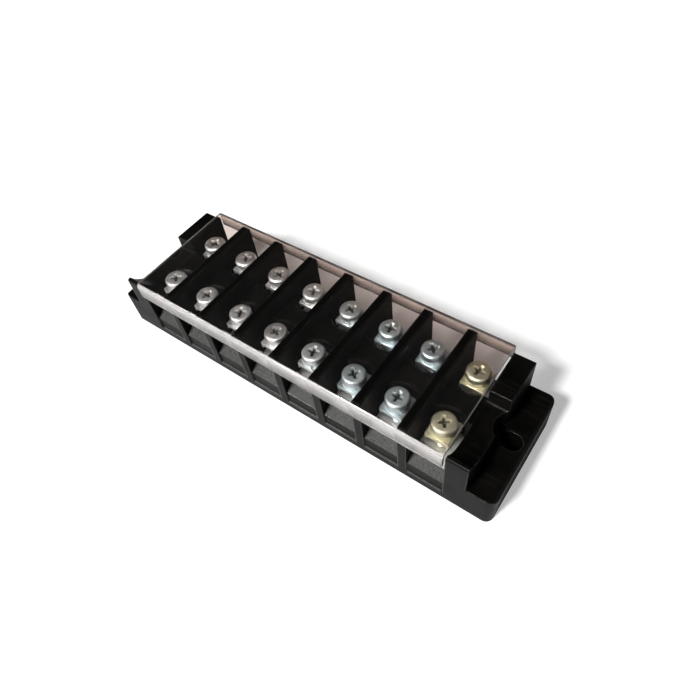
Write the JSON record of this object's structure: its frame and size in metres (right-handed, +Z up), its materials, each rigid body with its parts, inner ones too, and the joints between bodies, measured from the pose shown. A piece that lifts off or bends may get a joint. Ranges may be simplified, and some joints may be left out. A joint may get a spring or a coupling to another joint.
{
  "type": "barrier terminal strip",
  "caption": "Dual-row barrier terminal strip: black moulded base with slotted end flanges, screw terminals in bays between barriers, and a clear lift-off cover.",
  "frame": {"origin": "middle of the underside", "axes": "+X along the row of poles, +Y to the rear, +Z up from the mounting surface"},
  "size_m": [0.118, 0.034, 0.0217],
  "materials": {
    "black_plastic": "fine moulded sheen",
    "clear_plastic": "clear, glossy, slightly hazy",
    "plate_metal": "dull nickel plating",
    "screw_metal": "bright nickel plating",
    "washer_metal": "bright zinc plating"
  },
  "bodies": {
    "base": {"base": "black_plastic", "terminal_plate_1": "plate_metal", "terminal_plate_2": "plate_metal", "terminal_plate_3": "plate_metal", "terminal_plate_4": "plate_metal", "terminal_plate_5": "plate_metal", "terminal_plate_6": "plate_metal", "terminal_plate_7": "plate_metal", "terminal_plate_8": "plate_metal"},
    "cover": {"clear_cover": "clear_plastic"},
    "front_washers_1": {"front_spring_washer_1": "washer_metal", "front_clamp_washer_1": "washer_metal"},
    "front_screw_1": {"front_screw_1": "screw_metal"},
    "front_washers_2": {"front_spring_washer_2": "washer_metal", "front_clamp_washer_2": "washer_metal"},
    "front_screw_2": {"front_screw_2": "screw_metal"},
    "front_washers_3": {"front_spring_washer_3": "washer_metal", "front_clamp_washer_3": "washer_metal"},
    "front_screw_3": {"front_screw_3": "screw_metal"},
    "front_washers_4": {"front_spring_washer_4": "washer_metal", "front_clamp_washer_4": "washer_metal"},
    "front_screw_4": {"front_screw_4": "screw_metal"},
    "front_washers_5": {"front_spring_washer_5": "washer_metal", "front_clamp_washer_5": "washer_metal"},
    "front_screw_5": {"front_screw_5": "screw_metal"},
    "front_washers_6": {"front_spring_washer_6": "washer_metal", "front_clamp_washer_6": "washer_metal"},
    "front_screw_6": {"front_screw_6": "screw_metal"},
    "front_washers_7": {"front_spring_washer_7": "washer_metal", "front_clamp_washer_7": "washer_metal"},
    "front_screw_7": {"front_screw_7": "screw_metal"},
    "front_washers_8": {"front_spring_washer_8": "washer_metal", "front_clamp_washer_8": "washer_metal"},
    "front_screw_8": {"front_screw_8": "screw_metal"},
    "rear_washers_1": {"rear_spring_washer_1": "washer_metal", "rear_clamp_washer_1": "washer_metal"},
    "rear_screw_1": {"rear_screw_1": "screw_metal"},
    "rear_washers_2": {"rear_spring_washer_2": "washer_metal", "rear_clamp_washer_2": "washer_metal"},
    "rear_screw_2": {"rear_screw_2": "screw_metal"},
    "rear_washers_3": {"rear_spring_washer_3": "washer_metal", "rear_clamp_washer_3": "washer_metal"},
    "rear_screw_3": {"rear_screw_3": "screw_metal"},
    "rear_washers_4": {"rear_spring_washer_4": "washer_metal", "rear_clamp_washer_4": "washer_metal"},
    "rear_screw_4": {"rear_screw_4": "screw_metal"},
    "rear_washers_5": {"rear_spring_washer_5": "washer_metal", "rear_clamp_washer_5": "washer_metal"},
    "rear_screw_5": {"rear_screw_5": "screw_metal"},
    "rear_washers_6": {"rear_spring_washer_6": "washer_metal", "rear_clamp_washer_6": "washer_metal"},
    "rear_screw_6": {"rear_screw_6": "screw_metal"},
    "rear_washers_7": {"rear_spring_washer_7": "washer_metal", "rear_clamp_washer_7": "washer_metal"},
    "rear_screw_7": {"rear_screw_7": "screw_metal"},
    "rear_washers_8": {"rear_spring_washer_8": "washer_metal", "rear_clamp_washer_8": "washer_metal"},
    "rear_screw_8": {"rear_screw_8": "screw_metal"}
  },
  "joints": [
    {"name": "cover_lift", "type": "slide", "parent": "base", "child": "cover", "axis": [0, 0, 1], "range_m": [0, 0.03]},
    {"name": "front_clamp_travel_1", "type": "slide", "parent": "base", "child": "front_washers_1", "axis": [0, 0, 1], "range_m": [-0.0044, 0.0015]},
    {"name": "front_screw_turn_1", "type": "hinge", "parent": "front_washers_1", "child": "front_screw_1", "pos_m": [-0.042, -0.0079, 0.0183], "axis": [0, 0, 1], "range_deg": [-3170, 1082]},
    {"name": "front_clamp_travel_2", "type": "slide", "parent": "base", "child": "front_washers_2", "axis": [0, 0, 1], "range_m": [-0.0044, 0.0015]},
    {"name": "front_screw_turn_2", "type": "hinge", "parent": "front_washers_2", "child": "front_screw_2", "pos_m": [-0.03, -0.0079, 0.0183], "axis": [0, 0, 1], "range_deg": [-3170, 1082]},
    {"name": "front_clamp_travel_3", "type": "slide", "parent": "base", "child": "front_washers_3", "axis": [0, 0, 1], "range_m": [-0.0044, 0.0015]},
    {"name": "front_screw_turn_3", "type": "hinge", "parent": "front_washers_3", "child": "front_screw_3", "pos_m": [-0.018, -0.0079, 0.0183], "axis": [0, 0, 1], "range_deg": [-3170, 1082]},
    {"name": "front_clamp_travel_4", "type": "slide", "parent": "base", "child": "front_washers_4", "axis": [0, 0, 1], "range_m": [-0.0044, 0.0015]},
    {"name": "front_screw_turn_4", "type": "hinge", "parent": "front_washers_4", "child": "front_screw_4", "pos_m": [-0.006, -0.0079, 0.0183], "axis": [0, 0, 1], "range_deg": [-3170, 1082]},
    {"name": "front_clamp_travel_5", "type": "slide", "parent": "base", "child": "front_washers_5", "axis": [0, 0, 1], "range_m": [-0.0044, 0.0015]},
    {"name": "front_screw_turn_5", "type": "hinge", "parent": "front_washers_5", "child": "front_screw_5", "pos_m": [0.006, -0.0079, 0.0183], "axis": [0, 0, 1], "range_deg": [-3170, 1082]},
    {"name": "front_clamp_travel_6", "type": "slide", "parent": "base", "child": "front_washers_6", "axis": [0, 0, 1], "range_m": [-0.0044, 0.0015]},
    {"name": "front_screw_turn_6", "type": "hinge", "parent": "front_washers_6", "child": "front_screw_6", "pos_m": [0.018, -0.0079, 0.0183], "axis": [0, 0, 1], "range_deg": [-3170, 1082]},
    {"name": "front_clamp_travel_7", "type": "slide", "parent": "base", "child": "front_washers_7", "axis": [0, 0, 1], "range_m": [-0.0044, 0.0015]},
    {"name": "front_screw_turn_7", "type": "hinge", "parent": "front_washers_7", "child": "front_screw_7", "pos_m": [0.03, -0.0079, 0.0183], "axis": [0, 0, 1], "range_deg": [-3170, 1082]},
    {"name": "front_clamp_travel_8", "type": "slide", "parent": "base", "child": "front_washers_8", "axis": [0, 0, 1], "range_m": [-0.0044, 0.0015]},
    {"name": "front_screw_turn_8", "type": "hinge", "parent": "front_washers_8", "child": "front_screw_8", "pos_m": [0.042, -0.0079, 0.0183], "axis": [0, 0, 1], "range_deg": [-3170, 1082]},
    {"name": "rear_clamp_travel_1", "type": "slide", "parent": "base", "child": "rear_washers_1", "axis": [0, 0, 1], "range_m": [-0.0044, 0.0015]},
    {"name": "rear_screw_turn_1", "type": "hinge", "parent": "rear_washers_1", "child": "rear_screw_1", "pos_m": [-0.042, 0.0079, 0.0183], "axis": [0, 0, 1], "range_deg": [-3170, 1082]},
    {"name": "rear_clamp_travel_2", "type": "slide", "parent": "base", "child": "rear_washers_2", "axis": [0, 0, 1], "range_m": [-0.0044, 0.0015]},
    {"name": "rear_screw_turn_2", "type": "hinge", "parent": "rear_washers_2", "child": "rear_screw_2", "pos_m": [-0.03, 0.0079, 0.0183], "axis": [0, 0, 1], "range_deg": [-3170, 1082]},
    {"name": "rear_clamp_travel_3", "type": "slide", "parent": "base", "child": "rear_washers_3", "axis": [0, 0, 1], "range_m": [-0.0044, 0.0015]},
    {"name": "rear_screw_turn_3", "type": "hinge", "parent": "rear_washers_3", "child": "rear_screw_3", "pos_m": [-0.018, 0.0079, 0.0183], "axis": [0, 0, 1], "range_deg": [-3170, 1082]},
    {"name": "rear_clamp_travel_4", "type": "slide", "parent": "base", "child": "rear_washers_4", "axis": [0, 0, 1], "range_m": [-0.0044, 0.0015]},
    {"name": "rear_screw_turn_4", "type": "hinge", "parent": "rear_washers_4", "child": "rear_screw_4", "pos_m": [-0.006, 0.0079, 0.0183], "axis": [0, 0, 1], "range_deg": [-3170, 1082]},
    {"name": "rear_clamp_travel_5", "type": "slide", "parent": "base", "child": "rear_washers_5", "axis": [0, 0, 1], "range_m": [-0.0044, 0.0015]},
    {"name": "rear_screw_turn_5", "type": "hinge", "parent": "rear_washers_5", "child": "rear_screw_5", "pos_m": [0.006, 0.0079, 0.0183], "axis": [0, 0, 1], "range_deg": [-3170, 1082]},
    {"name": "rear_clamp_travel_6", "type": "slide", "parent": "base", "child": "rear_washers_6", "axis": [0, 0, 1], "range_m": [-0.0044, 0.0015]},
    {"name": "rear_screw_turn_6", "type": "hinge", "parent": "rear_washers_6", "child": "rear_screw_6", "pos_m": [0.018, 0.0079, 0.0183], "axis": [0, 0, 1], "range_deg": [-3170, 1082]},
    {"name": "rear_clamp_travel_7", "type": "slide", "parent": "base", "child": "rear_washers_7", "axis": [0, 0, 1], "range_m": [-0.0044, 0.0015]},
    {"name": "rear_screw_turn_7", "type": "hinge", "parent": "rear_washers_7", "child": "rear_screw_7", "pos_m": [0.03, 0.0079, 0.0183], "axis": [0, 0, 1], "range_deg": [-3170, 1082]},
    {"name": "rear_clamp_travel_8", "type": "slide", "parent": "base", "child": "rear_washers_8", "axis": [0, 0, 1], "range_m": [-0.0044, 0.0015]},
    {"name": "rear_screw_turn_8", "type": "hinge", "parent": "rear_washers_8", "child": "rear_screw_8", "pos_m": [0.042, 0.0079, 0.0183], "axis": [0, 0, 1], "range_deg": [-3170, 1082]}
  ],
  "couplings": [
    {"joint": "front_screw_turn_1", "follows": "front_clamp_travel_1", "rad_per_m": 12566},
    {"joint": "front_screw_turn_2", "follows": "front_clamp_travel_2", "rad_per_m": 12566},
    {"joint": "front_screw_turn_3", "follows": "front_clamp_travel_3", "rad_per_m": 12566},
    {"joint": "front_screw_turn_4", "follows": "front_clamp_travel_4", "rad_per_m": 12566},
    {"joint": "front_screw_turn_5", "follows": "front_clamp_travel_5", "rad_per_m": 12566},
    {"joint": "front_screw_turn_6", "follows": "front_clamp_travel_6", "rad_per_m": 12566},
    {"joint": "front_screw_turn_7", "follows": "front_clamp_travel_7", "rad_per_m": 12566},
    {"joint": "front_screw_turn_8", "follows": "front_clamp_travel_8", "rad_per_m": 12566},
    {"joint": "rear_screw_turn_1", "follows": "rear_clamp_travel_1", "rad_per_m": 12566},
    {"joint": "rear_screw_turn_2", "follows": "rear_clamp_travel_2", "rad_per_m": 12566},
    {"joint": "rear_screw_turn_3", "follows": "rear_clamp_travel_3", "rad_per_m": 12566},
    {"joint": "rear_screw_turn_4", "follows": "rear_clamp_travel_4", "rad_per_m": 12566},
    {"joint": "rear_screw_turn_5", "follows": "rear_clamp_travel_5", "rad_per_m": 12566},
    {"joint": "rear_screw_turn_6", "follows": "rear_clamp_travel_6", "rad_per_m": 12566},
    {"joint": "rear_screw_turn_7", "follows": "rear_clamp_travel_7", "rad_per_m": 12566},
    {"joint": "rear_screw_turn_8", "follows": "rear_clamp_travel_8", "rad_per_m": 12566}
  ]
}
